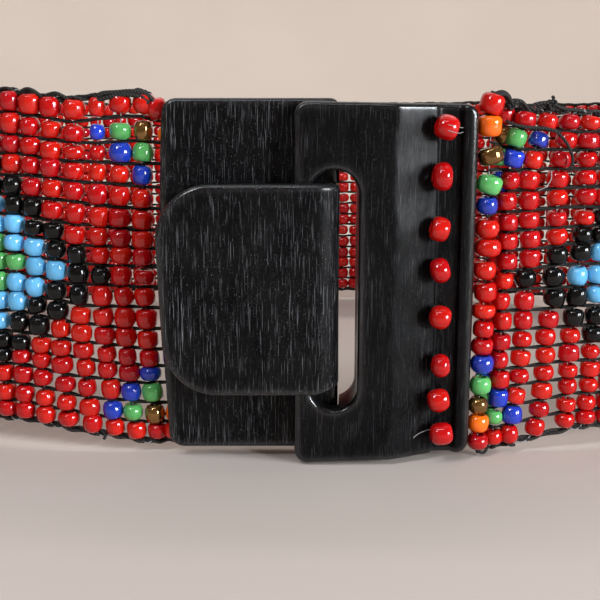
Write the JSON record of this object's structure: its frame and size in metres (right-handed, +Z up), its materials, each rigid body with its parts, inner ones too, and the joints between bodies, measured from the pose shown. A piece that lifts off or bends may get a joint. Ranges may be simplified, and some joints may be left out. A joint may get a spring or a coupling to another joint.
{
  "type": "beaded belt",
  "caption": "Wide woven seed-bead belt closed in a loop, diamond pattern, with a carved dark wood hook-and-slot buckle.",
  "frame": {"origin": "middle of the waist opening, at mid height of the band", "axes": "+X to the side where the slot plate lies, -Y to the front where the buckle is, +Z up along the waist"},
  "size_m": [0.2498, 0.1749, 0.0728],
  "materials": {
    "dark_wood": "satin polish",
    "glass_red": "glossy opaque",
    "glass_orange": "glossy opaque",
    "glass_bronze": "metallic glaze",
    "glass_green": "glossy opaque",
    "glass_blue": "glossy opaque",
    "glass_light_blue": "glossy opaque",
    "glass_black": "glossy opaque",
    "black_cord": "waxed",
    "clear_thread": "clear"
  },
  "bodies": {
    "root": {"hook_plate": "dark_wood", "slot_plate": "dark_wood", "anchor_bead_1": "glass_red", "anchor_bead_2": "glass_red", "anchor_bead_3": "glass_red", "anchor_bead_4": "glass_red", "anchor_bead_5": "glass_red", "anchor_bead_6": "glass_red", "anchor_bead_7": "glass_red", "anchor_bead_8": "glass_red", "end_bead_1": "glass_red", "end_bead_2": "glass_orange", "end_bead_3": "glass_bronze", "end_bead_4": "glass_green", "end_bead_5": "glass_blue", "end_bead_6": "glass_red", "end_bead_7": "glass_red", "end_bead_8": "glass_red", "end_bead_9": "glass_red", "end_bead_10": "glass_red", "end_bead_11": "glass_red", "end_bead_12": "glass_red", "end_bead_13": "glass_blue", "end_bead_14": "glass_green", "end_bead_15": "glass_bronze", "end_bead_16": "glass_orange", "end_bead_17": "glass_red", "band_left": "glass_red", "band_right": "glass_red"}
  },
  "joints": []
}
